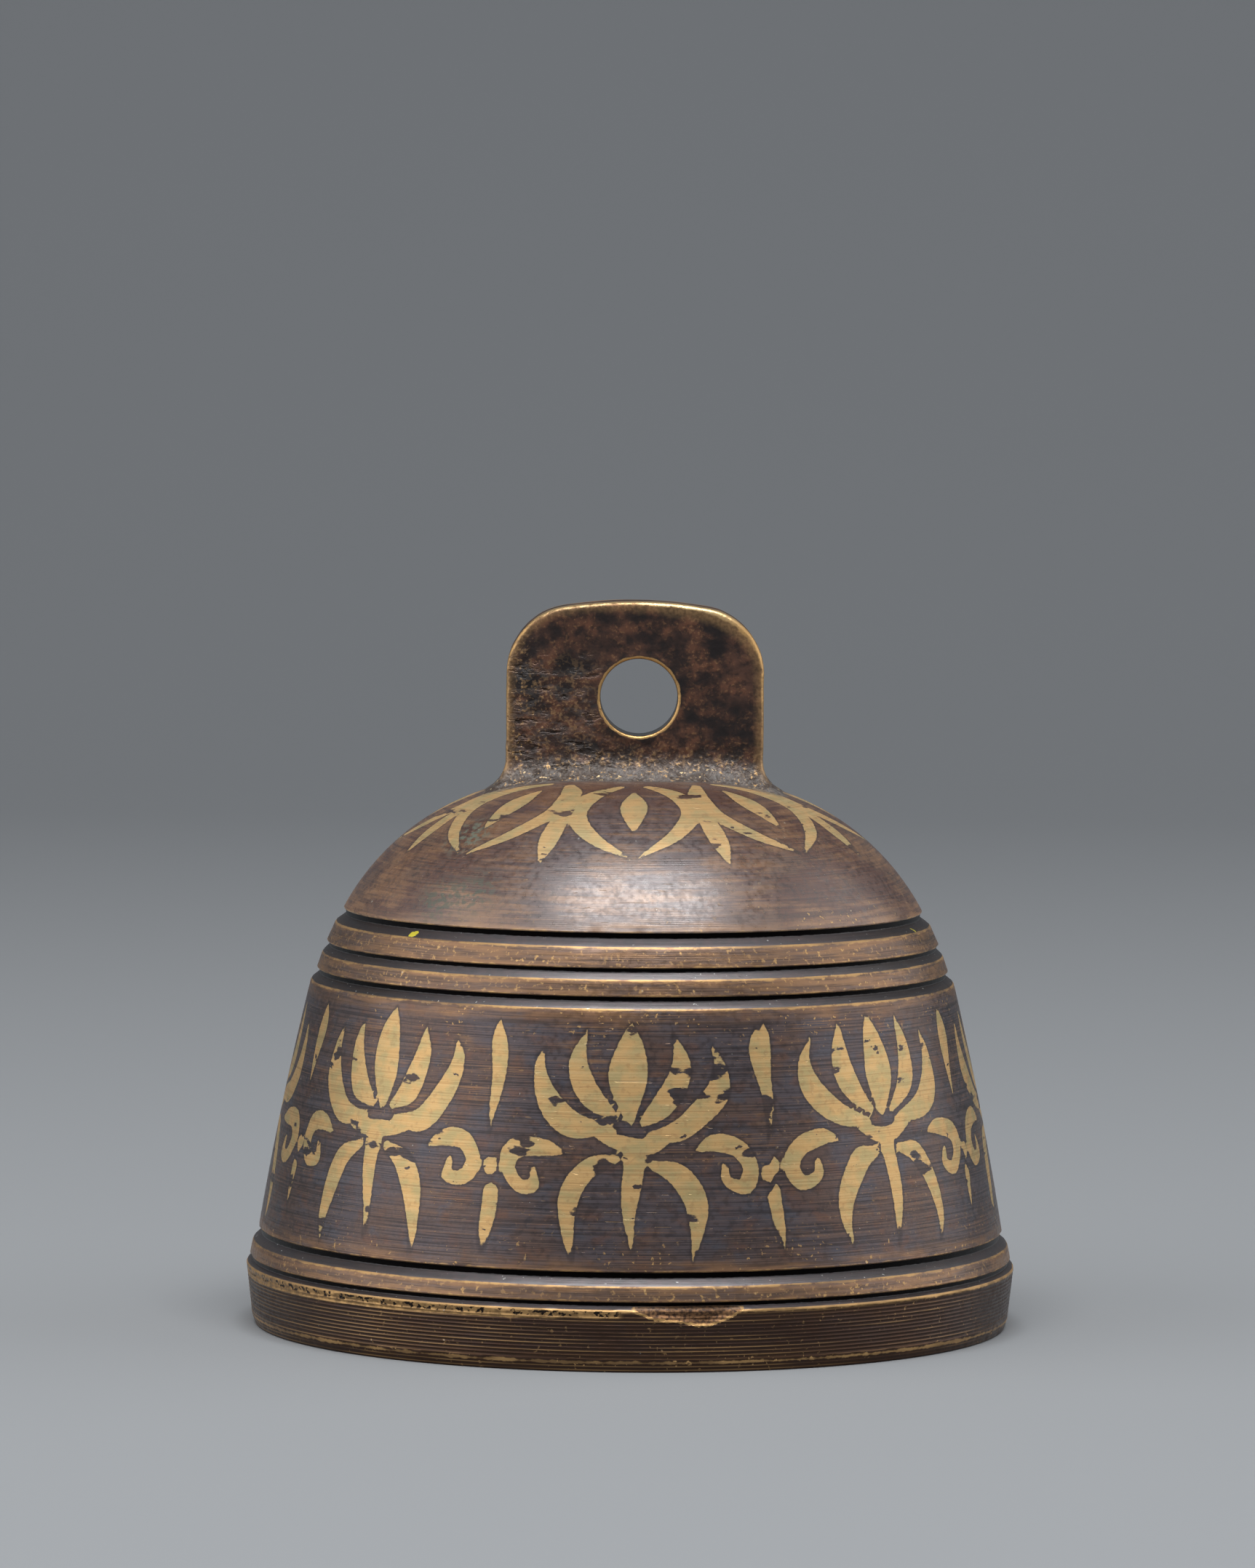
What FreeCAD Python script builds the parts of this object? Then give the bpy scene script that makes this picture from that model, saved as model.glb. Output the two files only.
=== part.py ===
import FreeCAD, Part
import math
import os

# A hanging bell of cast and turned brass with a flat lug on its crown, and a
# striker that hangs inside on a wire link. Sizes are in millimetres. The origin
# is the middle of the mouth, level with the rim. +Z is up, and the wide face of
# the lug looks along -Y.

# The turned casting
mouth_diameter = 75.0
crown_height = 53.2
crown_flat_radius = 7.0
crown_wall = 4.5
shoulder_wall = 3.4
lip_wall = 4.2
waist_bulge = 0.23
inner_bulge = 1.1
groove_depth = 0.25
lip_taper = 0.55
foot_bevel_width = 0.3
foot_bevel_height = 0.9
mouth_edge_break = 0.4

# Each groove's upper edge and lower edge from the shoulder down, as shares of
# the mouth's radius and of the crown's height
groove_edge_shares = (
    ((0.753, 0.7600), (0.773, 0.7360)),
    ((0.796, 0.7000), (0.807, 0.6800)),
    ((0.821, 0.6510), (0.836, 0.6300)),
    ((0.968, 0.1745), (0.983, 0.1507)),
    ((0.991, 0.1240), (1.000, 0.1106)),
)
# How far down each groove its upright root goes, as a share of the groove's height
groove_root_shares = (0.45, 0.40, 0.43, 0.47, 0.60)
waist_groove_count = 3
inner_shoulder_share = 0.715
sound_bow_share = 0.127

# The lug, cast in one with the bell
lug_width = 25.2
lug_thickness = 5.0
lug_rise = 17.45
lug_corner_radius = 6.7
lug_top_radius = 44.0
lug_edge_round = 0.6
lug_root_fillet = 2.6
lug_sink_share = 0.5
hole_diameter = 7.5
hole_drop = 9.4
hole_offset = 0.4
hole_edge_break = 0.25

# The iron staple that holds the link, cast into the crown
staple_wire = 2.2
staple_width = 7.0
staple_bend_radius = 2.0
staple_drop = 5.0
staple_embed = 3.4
staple_clearance = 0.02

# The link between the staple and the striker's eye
link_wire = 2.0
link_reach = 3.0
hang_clearance = 0.1

# The striker: a forged shank with an eye, and a ball held on its lower end
eye_wire = 2.0
shank_upper_radius = 1.25
shank_lower_radius = 1.6
collar_radius = 2.6
collar_height = 1.2
pin_radius = 1.5
pin_clearance = 0.02
head_height = 0.9
ball_radius = 8.0
ball_clear_height = 3.7

overrun = 2.0

mouth_radius = mouth_diameter / 2
inner_crown_height = crown_height - crown_wall
staple_axis_height = inner_crown_height - staple_drop
link_bend_radius = (staple_wire + link_wire) / 2 + hang_clearance
striker_axis_height = staple_axis_height - link_reach - link_bend_radius
eye_radius = (link_wire + eye_wire) / 2 + hang_clearance
ball_height = ball_clear_height + ball_radius
ball_flat = math.sqrt(ball_radius ** 2 - collar_radius ** 2)

origin = FreeCAD.Vector(0, 0, 0)
along_x = FreeCAD.Vector(1, 0, 0)
along_y = FreeCAD.Vector(0, 1, 0)
along_z = FreeCAD.Vector(0, 0, 1)


def on_section(radius, height):
    """A point of the section that is turned about the Z axis."""
    return FreeCAD.Vector(radius, 0, height)


def line(start, end):
    return Part.LineSegment(start, end).toShape()


def bowed(start, end, bulge):
    """An arc in the XZ plane that leaves its chord by bulge, away from the axis when it runs down."""
    chord = end - start
    side = FreeCAD.Vector(-chord.z, 0, chord.x).normalize()
    return Part.Arc(start, (start + end) / 2 + side * bulge, end).toShape()


def dome(flat_radius, top, end):
    """An arc that leaves a level crown at flat_radius and falls to end."""
    run = end.x - flat_radius
    fall = top - end.z
    radius = (run ** 2 + fall ** 2) / (2 * fall)
    half_turn = math.asin(run / radius) / 2
    middle = on_section(flat_radius + radius * math.sin(half_turn),
                        top - radius * (1 - math.cos(half_turn)))
    return Part.Arc(on_section(flat_radius, top), middle, end).toShape()


def turned(edges):
    """The solid that a closed section makes when it is turned about Z."""
    return Part.Face(Part.Wire(edges)).revolve(origin, along_z, 360)


def drawn(path, wire_diameter, start, direction):
    """A round wire bent along path."""
    ring = Part.Wire(Part.makeCircle(wire_diameter / 2, start, direction))
    return Part.Wire(path).makePipeShell([ring], True, False)


def groove_points(edges, root_share):
    """The four corners of one groove, from its upper edge to its lower edge."""
    (upper_share, top_share), (lower_share, low_share) = edges
    upper = on_section(upper_share * mouth_radius, top_share * crown_height)
    lower = on_section(lower_share * mouth_radius, low_share * crown_height)
    root = upper.x - groove_depth
    root_height = upper.z - (upper.z - lower.z) * root_share
    return [upper, on_section(root, upper.z), on_section(root, root_height), lower]


def outer_edges():
    """The outside from the crown to the foot: dome, grooves, bands, waist and lip."""
    grooves = [groove_points(edges, share)
               for edges, share in zip(groove_edge_shares, groove_root_shares)]
    edges = [line(on_section(0, crown_height), on_section(crown_flat_radius, crown_height)),
             dome(crown_flat_radius, crown_height, grooves[0][0])]
    for number, corners in enumerate(grooves):
        if number == waist_groove_count:
            edges.append(bowed(grooves[number - 1][-1], corners[0], waist_bulge))
        elif number:
            edges.append(line(grooves[number - 1][-1], corners[0]))
        for start, end in zip(corners, corners[1:]):
            edges.append(line(start, end))
    lip = on_section(mouth_radius - lip_taper, foot_bevel_height)
    foot = on_section(lip.x - foot_bevel_width, 0)
    edges.append(line(grooves[-1][-1], lip))
    edges.append(line(lip, foot))
    return edges, foot


def inner_edges(foot):
    """The inside from the foot up to the crown: lip, sound bow, waist and dome."""
    lip_radius = mouth_radius - lip_wall
    shoulder_share = groove_edge_shares[0][1][0]
    points = [foot,
              on_section(lip_radius + mouth_edge_break, 0),
              on_section(lip_radius, mouth_edge_break),
              on_section(lip_radius, sound_bow_share * crown_height)]
    shoulder = on_section(shoulder_share * mouth_radius - shoulder_wall,
                          inner_shoulder_share * crown_height)
    edges = [line(start, end) for start, end in zip(points, points[1:])]
    edges.append(bowed(points[-1], shoulder, -inner_bulge))
    edges.append(dome(crown_flat_radius, inner_crown_height, shoulder))
    edges.append(line(on_section(crown_flat_radius, inner_crown_height),
                      on_section(0, inner_crown_height)))
    edges.append(line(on_section(0, inner_crown_height), on_section(0, crown_height)))
    return edges


def lug_outline():
    """The lug seen from the front: straight sides, round corners, a slightly crowned top."""
    half = lug_width / 2
    top = crown_height + lug_rise
    front = -lug_thickness / 2
    bottom = crown_height - crown_wall * lug_sink_share
    crown_centre = top - lug_top_radius
    corner_x = half - lug_corner_radius
    reach = lug_top_radius - lug_corner_radius
    corner_z = crown_centre + math.sqrt(reach ** 2 - corner_x ** 2)
    lean = math.asin(corner_x / reach)
    half_corner = (math.pi / 2 - lean) / 2
    corner_arcs = {}
    for side in (-1, 1):
        joint = FreeCAD.Vector(side * lug_top_radius * math.sin(lean), front,
                               crown_centre + lug_top_radius * math.cos(lean))
        middle = FreeCAD.Vector(side * (corner_x + lug_corner_radius * math.cos(half_corner)), front,
                                corner_z + lug_corner_radius * math.sin(half_corner))
        corner_arcs[side] = (FreeCAD.Vector(side * half, front, corner_z), middle, joint)
    left_low = FreeCAD.Vector(-half, front, bottom)
    right_low = FreeCAD.Vector(half, front, bottom)
    left, left_middle, left_joint = corner_arcs[-1]
    right, right_middle, right_joint = corner_arcs[1]
    return Part.Wire([
        line(left_low, left),
        Part.Arc(left, left_middle, left_joint).toShape(),
        Part.Arc(left_joint, FreeCAD.Vector(0, front, top), right_joint).toShape(),
        Part.Arc(right_joint, right_middle, right).toShape(),
        line(right, right_low),
        line(right_low, left_low),
    ])


def lug():
    """The lug's plate with its rim rounded front and back."""
    blank = Part.Face(lug_outline()).extrude(along_y * lug_thickness)
    bottom = blank.BoundBox.ZMin
    rim = [edge for edge in blank.Edges
           if edge.BoundBox.YLength < lug_edge_round and edge.BoundBox.ZMax > bottom + lug_edge_round]
    return blank.makeFillet(lug_edge_round, rim)


def root_edges(solid):
    """The edges where the lug's upright faces meet the dome."""
    half_width = lug_width / 2
    half_thickness = lug_thickness / 2
    found = []
    for edge in solid.Edges:
        box = edge.BoundBox
        under_lug = (max(-box.XMin, box.XMax) < half_width + lug_edge_round
                     and max(-box.YMin, box.YMax) < half_thickness + lug_edge_round)
        at_dome = box.ZMin > inner_crown_height and box.ZMax < crown_height + lug_edge_round
        if under_lug and at_dome:
            found.append(edge)
    return found


def hanging_hole():
    """The drilled hole with both of its edges broken."""
    height = crown_height + lug_rise - hole_drop
    radius = hole_diameter / 2
    start = FreeCAD.Vector(hole_offset, -lug_thickness / 2, height)
    bore = Part.makeCylinder(radius, lug_thickness, start, along_y)
    front = Part.makeCone(radius + hole_edge_break, radius, hole_edge_break, start, along_y)
    back = Part.makeCone(radius, radius + hole_edge_break, hole_edge_break,
                         start + along_y * (lug_thickness - hole_edge_break), along_y)
    return bore.fuse([front, back])


def staple_pockets():
    """Where the staple's legs sit in the crown."""
    radius = staple_wire / 2 + staple_clearance
    depth = staple_embed + staple_clearance
    pockets = []
    for side in (-1, 1):
        foot = FreeCAD.Vector(0, side * staple_width / 2, inner_crown_height - overrun)
        pockets.append(Part.makeCylinder(radius, depth + overrun, foot, along_z))
    return pockets


def bell_body():
    """The bell and its lug, one casting."""
    outside, foot = outer_edges()
    shell = turned(outside + inner_edges(foot))
    casting = shell.fuse(lug())
    casting = casting.makeFillet(lug_root_fillet, root_edges(casting))
    return casting.cut([hanging_hole()] + staple_pockets())


def clapper_staple():
    """A wire bent to a square U, its legs up in the crown and its bar along Y."""
    half = staple_width / 2
    bar = staple_axis_height
    top = inner_crown_height + staple_embed
    bend = staple_bend_radius
    corner = bend * (1 - math.sqrt(0.5))

    def place(y, z):
        return FreeCAD.Vector(0, y, z)

    path = [
        line(place(-half, top), place(-half, bar + bend)),
        Part.Arc(place(-half, bar + bend), place(-half + corner, bar + corner),
                 place(-half + bend, bar)).toShape(),
        line(place(-half + bend, bar), place(half - bend, bar)),
        Part.Arc(place(half - bend, bar), place(half - corner, bar + corner),
                 place(half, bar + bend)).toShape(),
        line(place(half, bar + bend), place(half, top)),
    ]
    return drawn(path, staple_wire, place(-half, top), along_z)


def clapper_link():
    """A closed oval link, round the staple's bar above and through the eye below."""
    bend = link_bend_radius
    upper = staple_axis_height
    lower = staple_axis_height - link_reach

    def place(x, z):
        return FreeCAD.Vector(x, 0, z)

    path = [
        line(place(bend, lower), place(bend, upper)),
        Part.Arc(place(bend, upper), place(0, upper + bend), place(-bend, upper)).toShape(),
        line(place(-bend, upper), place(-bend, lower)),
        Part.Arc(place(-bend, lower), place(0, lower - bend), place(bend, lower)).toShape(),
    ]
    return drawn(path, link_wire, place(bend, lower), along_z)


def clapper_shank():
    """The forged shank: eye, tapered rod, collar, pin through the ball and its peened head."""
    eye_centre = FreeCAD.Vector(0, 0, striker_axis_height)
    ball_top = FreeCAD.Vector(0, 0, ball_height + ball_flat)
    ball_bottom = FreeCAD.Vector(0, 0, ball_height - ball_flat)
    collar_top = ball_top + along_z * collar_height
    eye = Part.makeTorus(eye_radius, eye_wire / 2, eye_centre, along_x)
    rod = Part.makeCone(shank_lower_radius, shank_upper_radius,
                        eye_centre.z - eye_radius - collar_top.z, collar_top, along_z)
    collar = Part.makeCylinder(collar_radius, collar_height, ball_top, along_z)
    pin = Part.makeCylinder(pin_radius, 2 * ball_flat, ball_bottom, along_z)
    head = Part.makeCone(collar_radius - head_height / 2, collar_radius, head_height,
                         ball_bottom - along_z * head_height, along_z)
    return eye.fuse([rod, collar, pin, head]).removeSplitter()


def clapper_ball():
    """The striker's ball, flat where the collar and the head bear on it."""
    centre = FreeCAD.Vector(0, 0, ball_height)
    flats = Part.makeCylinder(ball_radius + overrun, 2 * ball_flat,
                              FreeCAD.Vector(0, 0, ball_height - ball_flat), along_z)
    bore = Part.makeCylinder(pin_radius + pin_clearance, 2 * ball_radius,
                             FreeCAD.Vector(0, 0, ball_height - ball_radius), along_z)
    return Part.makeSphere(ball_radius, centre).common(flats).cut(bore)


pieces = {
    "bell_body": bell_body(),
    "clapper_staple": clapper_staple(),
    "clapper_link": clapper_link(),
    "clapper_shank": clapper_shank(),
    "clapper_ball": clapper_ball(),
}

os.makedirs("parts", exist_ok=True)
for name, shape in pieces.items():
    shape.exportStep(f"parts/{name}.step")
    print(name, "valid", shape.isValid(), "solids", len(shape.Solids),
          "volume", round(shape.Volume, 1))
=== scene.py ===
import math

import bpy
import numpy as np
from mathutils import Matrix, Vector, noise


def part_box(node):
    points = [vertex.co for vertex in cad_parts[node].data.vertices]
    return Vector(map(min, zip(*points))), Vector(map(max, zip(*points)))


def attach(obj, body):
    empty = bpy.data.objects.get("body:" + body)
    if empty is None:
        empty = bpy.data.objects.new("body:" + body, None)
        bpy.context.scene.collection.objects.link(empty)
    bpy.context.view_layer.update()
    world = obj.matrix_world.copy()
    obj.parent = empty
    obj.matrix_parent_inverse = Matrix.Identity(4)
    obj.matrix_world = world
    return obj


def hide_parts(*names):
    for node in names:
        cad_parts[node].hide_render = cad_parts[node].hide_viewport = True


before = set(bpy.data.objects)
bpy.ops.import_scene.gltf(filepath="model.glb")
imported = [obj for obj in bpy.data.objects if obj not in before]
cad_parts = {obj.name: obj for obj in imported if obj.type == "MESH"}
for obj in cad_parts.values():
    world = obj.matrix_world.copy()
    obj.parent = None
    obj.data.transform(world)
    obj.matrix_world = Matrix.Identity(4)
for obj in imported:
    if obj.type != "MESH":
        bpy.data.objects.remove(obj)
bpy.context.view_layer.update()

# The bell: one heavy brass casting, turned outside and in on a lathe. Five
# stepped grooves part its bands, fine tool ribs go round its lip, and the
# lip's top edge has casting pits and one large chip at the front.
mm = 0.001
mouth_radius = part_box("bell_body")[1].x
lug_rise = 17.45 * mm
crown_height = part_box("bell_body")[1].z - lug_rise
crown_flat_radius = 7.0 * mm
inner_crown_height = crown_height - 4.5 * mm
groove_depth = 0.25 * mm
groove_root_shares = (0.45, 0.40, 0.43, 0.47, 0.60)
groove_edge_shares = (
    ((0.753, 0.7600), (0.773, 0.7360)),
    ((0.796, 0.7000), (0.807, 0.6800)),
    ((0.821, 0.6510), (0.836, 0.6300)),
    ((0.968, 0.1745), (0.983, 0.1507)),
    ((0.991, 0.1240), (1.000, 0.1106)),
)
waist_groove_count = 3
waist_bulge = 0.23 * mm
lip_low = (mouth_radius - 0.55 * mm, 0.9 * mm)
foot = (mouth_radius - 0.85 * mm, 0.0)
bore_radius = mouth_radius - 4.2 * mm
bore_edge_break = 0.4 * mm
sound_bow_height = 6.76 * mm
inner_shoulder = (25.59 * mm, 38.04 * mm)
inner_bulge = -1.1 * mm
edge_break = 0.12 * mm
dome_spacing = 0.5 * mm
waist_spacing = 0.46 * mm
inner_spacing = 2.6 * mm
rib_count = 12
rib_depth = 0.07 * mm
rib_margin = 0.35 * mm
turned_steps = 424
least_wall = 1.6 * mm

groove_edges = [[(r * mouth_radius, z * crown_height) for r, z in edge] for edge in groove_edge_shares]
section = [(0.0, crown_height)]


def dome_angle(top, end):
    """Radius and turn of the arc that leaves a level crown at its flat and falls to end."""
    run, fall = end[0] - crown_flat_radius, top - end[1]
    radius = (run ** 2 + fall ** 2) / (2 * fall)
    return radius, math.asin(run / radius)


def dome_points(top, end, spacing):
    radius, turn = dome_angle(top, end)
    angles = np.linspace(0, turn, math.ceil(radius * turn / spacing) + 1)
    return [(crown_flat_radius + radius * math.sin(a), top - radius * (1 - math.cos(a))) for a in angles]


def face_points(start, end, spacing, bulge=0.0, clear=(edge_break, edge_break)):
    """Points along a turned face, clear of its two edges, so that each edge is left broken."""
    length = math.dist(start, end)
    run, rise = (end[0] - start[0]) / length, (end[1] - start[1]) / length
    ends = clear[0], length - clear[1]
    for place in np.linspace(*ends, math.ceil((ends[1] - ends[0]) / spacing) + 1):
        out = 4 * bulge * place * (length - place) / length ** 2
        yield start[0] + run * place - rise * out, start[1] + rise * place + run * out


section += dome_points(crown_height, groove_edges[0][0], dome_spacing)
section[-1] = (section[-1][0] - edge_break / 2, section[-1][1] + edge_break)
groove_floors = []
for number, ((upper, lower), root_share) in enumerate(zip(groove_edges, groove_root_shares)):
    if number:
        bulge = waist_bulge if number == waist_groove_count else 0.0
        section += face_points(groove_edges[number - 1][1], upper, waist_spacing, bulge)
    root = upper[0] - groove_depth
    root_low = (root, upper[1] - (upper[1] - lower[1]) * root_share)
    groove_floors.append(root_low[1])
    section += [(upper[0] - edge_break, upper[1]), (root, upper[1])]
    section += face_points(root_low, lower, waist_spacing, clear=(0.0, edge_break))

lip_top = groove_edges[-1][1]
lip_length = math.dist(lip_top, lip_low)
lip_run, lip_fall = (lip_low[0] - lip_top[0]) / lip_length, (lip_low[1] - lip_top[1]) / lip_length
lip_top_height = lip_top[1] / mm
rib_pitch = (lip_length - 2 * rib_margin) / rib_count
section.append((lip_top[0] + lip_run * edge_break, lip_top[1] + lip_fall * edge_break))
for third in range(3 * rib_count + 1):
    place = rib_margin + rib_pitch * third / 3
    sunk = rib_depth if third % 3 else 0.0
    section.append((lip_top[0] + lip_run * place - sunk, lip_top[1] + lip_fall * place))
section += [lip_low, foot, (bore_radius + bore_edge_break, 0.0), (bore_radius, bore_edge_break)]
section += face_points((bore_radius, sound_bow_height), inner_shoulder, inner_spacing, inner_bulge, (0, 0))
section += reversed(dome_points(inner_crown_height, inner_shoulder, inner_spacing)[:-1])
section.append((0.0, inner_crown_height))


def new_point(name, place):
    """A mesh object of one vertex at place, in edit mode, from which a section is drawn."""
    bpy.ops.object.select_all(action="DESELECT")
    bpy.ops.mesh.primitive_plane_add(size=mm)
    made = bpy.context.object
    made.name = made.data.name = name
    bpy.ops.object.mode_set(mode="EDIT")
    bpy.ops.mesh.select_mode(type="VERT")
    bpy.ops.mesh.merge(type="CENTER")
    bpy.ops.transform.translate(value=place)
    return made


def draw_through(points):
    """Extrudes the selected vertex from point to point."""
    for start, end in zip(points, points[1:]):
        step = [b - a for a, b in zip(start, end)]
        bpy.ops.mesh.extrude_region_move(TRANSFORM_OT_translate={"value": step})


def turn_about_z(steps):
    """Spins the drawn section into a closed shell with its faces outwards."""
    bpy.ops.mesh.select_all(action="SELECT")
    bpy.ops.mesh.spin(steps=steps, angle=2 * math.pi, center=(0, 0, 0), axis=(0, 0, 1))
    close_up()


def close_up():
    bpy.ops.mesh.select_all(action="SELECT")
    bpy.ops.mesh.remove_doubles(threshold=0.002 * mm)
    bpy.ops.mesh.normals_make_consistent(inside=False)
    bpy.ops.object.mode_set(mode="OBJECT")


def places_of(piece):
    """The vertices of a piece as rows of x, y and z."""
    values = np.empty(len(piece.data.vertices) * 3, np.float32)
    piece.data.vertices.foreach_get("co", values)
    return values.reshape(-1, 3).astype(float)


def move_to(piece, places):
    piece.data.vertices.foreach_set("co", places.astype(np.float32).ravel())
    piece.data.update()


def paint(piece, name, values):
    """Keeps one number per vertex for the piece's material to read."""
    layer = piece.data.attributes.new(name, "FLOAT", "POINT")
    layer.data.foreach_set("value", values.astype(np.float32))


profile = [(r, 0.0, z) for r, z in section]
bell = new_point("bell_casting", profile[0])
draw_through(profile)
turn_about_z(turned_steps)

places = places_of(bell)
radii, heights = np.hypot(places[:, 0], places[:, 1]), places[:, 2]
angles = np.arctan2(places[:, 0], -places[:, 1])
foot_index = section.index(foot)
outer_radii = np.interp(-heights, [-z for r, z in section[:foot_index + 1]],
                        [r for r, z in section[:foot_index + 1]])
inside = (radii < outer_radii - least_wall) & (heights > 0)
paint(bell, "inside", inside)


# The brush ornament: lotus flowers with leaves round the waist and a ring of petals
# on the dome, laid on as strokes of a brush where the patina leaves the brass
# bright. Strokes are listed by their middle line and half width, in millimetres.
lotus_strokes = (
    ((0, 32.5, 0.05), (0, 30.1, 1.25), (0, 27.3, 1.8), (0, 24.9, 1.05), (0, 23.3, 0.35)),
    ((1.3, 23.4, 0.35), (3.7, 25.5, 1.15), (4.8, 28.5, 0.95), (4.3, 31.7, 0.05)),
    ((1.9, 22.3, 0.4), (5.4, 22.9, 1.1), (8.0, 25.3, 1.2), (8.8, 28.1, 0.65), (8.1, 30.5, 0.05)),
    ((0, 21.1, 0.8), (1.6, 21.3, 0.7), (3.2, 21.7, 0.35)),
    ((0, 20.1, 0.95), (0, 16.1, 0.75), (0, 10.7, 0.05)),
    ((1.6, 19.7, 0.4), (4, 18.7, 1.0), (5.6, 16.1, 1.0), (6, 12.9, 0.55), (5.6, 10.3, 0.05)),
    ((6.4, 20.6, 0.2), (8.2, 21.1, 0.8), (10.5, 20.7, 0.9), (11.5, 19, 0.8), (10.5, 17.3, 0.7),
     (8.9, 17.6, 0.55), (8.9, 19, 0.3)),
    ((13.35, 32.3, 0.05), (13.35, 29.9, 1.05), (13.35, 26.1, 0.6), (13.35, 21.6, 0.05)),
    ((13.35, 18.8, 0.75), (13.35, 18.6, 0.75)),
    ((13.35, 16.4, 0.7), (13.35, 13.6, 0.5), (13.35, 10.7, 0.05)),
)
petal_strokes = (
    ((1.3, 10, 0.45), (4.2, 13.6, 0.95), (5.6, 17.6, 1.05), (4.0, 21.4, 0.8), (0.3, 24.6, 0.12)),
    ((0, 12.5, 0.2), (0, 16, 1.3), (0, 18.8, 0.8), (0, 20.8, 0.05)),
)
gap_strokes = (
    ((0, 14, 0.1), (0, 17.6, 0.75), (0, 22, 1.0), (0, 25.4, 0.1)),
)
unit_count = 8
far_outside = -9.0
waist_radius = mouth_radius / mm - 3.5
stroke_steps = 14
brush_wander = 0.28


def stroke_depth(points, across, up):
    """How far inside a brush stroke each place lies, less than zero outside it."""
    line = np.array(points, float)
    line = np.vstack([2 * line[0] - line[1], line, 2 * line[-1] - line[-2]])
    depth = np.full(across.shape, far_outside)
    for a, b, c, d in zip(line, line[1:], line[2:], line[3:]):
        for t in np.arange(0, 1 + 1 / stroke_steps, 1 / stroke_steps):
            u, v, half_width = 0.5 * (2 * b + (c - a) * t + (2 * a - 5 * b + 4 * c - d) * t ** 2
                                      + (3 * b - a - 3 * c + d) * t ** 3)
            depth = np.maximum(depth, max(half_width, 0.03) - np.hypot(across - u, up - v))
    return depth


def unit_places(turns):
    """Each angle as an angle from the middle of its own flower, and which flower that is."""
    unit = 2 * math.pi / unit_count
    number = np.round(turns / unit)
    return turns - number * unit, number


hand = np.random.default_rng(7)
sway = hand.uniform(-1, 1, (unit_count + 1, 4))
on_dome = ~inside & (heights > groove_edges[0][0][1])
on_waist = ~inside & (heights < groove_edges[2][1][1]) & (heights > groove_edges[3][0][1])
dome_radius = dome_angle(crown_height, groove_edges[0][0])[0]
brushwork = np.full(len(places), far_outside)

local, number = unit_places(angles[on_waist])
leaning = sway[number.astype(int) % unit_count]
up = heights[on_waist] / mm
across = local * waist_radius
across_drawn = across + 0.35 * leaning[:, 0] + 0.03 * leaning[:, 1] * (up - 22)
across_drawn += brush_wander * np.sin(0.55 * up + 2.1 * number + 0.3 * across)
up_drawn = up + 0.3 * leaning[:, 2] + brush_wander * np.sin(0.6 * across + 1.7 * number)
depths = [stroke_depth(stroke, np.abs(across_drawn), up_drawn) for stroke in lotus_strokes]
brushwork[on_waist] = np.max(depths, axis=0)

local, number = unit_places(angles[on_dome])
ring = radii[on_dome] / mm
fallen = np.arcsin(np.clip((radii[on_dome] - crown_flat_radius) / dome_radius, 0, 1))
along = (np.minimum(radii[on_dome], crown_flat_radius) + dome_radius * fallen) / mm
along = along + brush_wander * np.sin(5 * local + 1.3 * number)
depths = [stroke_depth(stroke, np.abs(local) * ring, along) for stroke in petal_strokes]
gap = (np.abs(local) - math.pi / unit_count) * ring
depths += [stroke_depth(stroke, gap, along) for stroke in gap_strokes]
brushwork[on_dome] = np.max(depths, axis=0)
paint(bell, "brushwork", brushwork)

chip_stroke = ((0.5, 6.05, 0.25), (2.4, 5.75, 0.7), (4.6, 5.7, 0.9), (7.2, 5.6, 1.15), (9.2, 5.9, 0.75),
               (10.6, 6.05, 0.2))
chip_depth = 0.32 * mm
on_lip = ~inside & (heights < groove_edges[4][0][1]) & (heights > foot[1])
chip = np.full(len(places), far_outside)
chip[on_lip] = stroke_depth(chip_stroke, angles[on_lip] * mouth_radius / mm, heights[on_lip] / mm)
paint(bell, "chip", chip)

edge_gap = np.full(len(places), 1.0)
for edge in [point for pair in groove_edges for point in pair] + [lip_low]:
    edge_gap = np.minimum(edge_gap, np.hypot(radii - edge[0], heights - edge[1]) / mm)
bruise_size = 1.4 * mm
bruise_depth = 0.16 * mm
grain_size = 0.9 * mm
sunk = np.zeros(len(places))
for index in np.flatnonzero((edge_gap < 0.2) & ~inside):
    sunk[index] = bruise_depth * max(0.0, noise.noise(Vector(places[index]) / bruise_size) - 0.12)
for index in np.flatnonzero(chip > 0):
    rough = 1 + 0.5 * noise.noise(Vector(places[index]) / grain_size)
    sunk[index] = chip_depth * rough * min(1.0, chip[index] / 0.5)
places[:, :2] *= ((radii - sunk) / np.maximum(radii, mm))[:, None]
move_to(bell, places)
bell.select_set(True)
bpy.ops.object.shade_smooth_by_angle(angle=math.radians(32))


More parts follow.
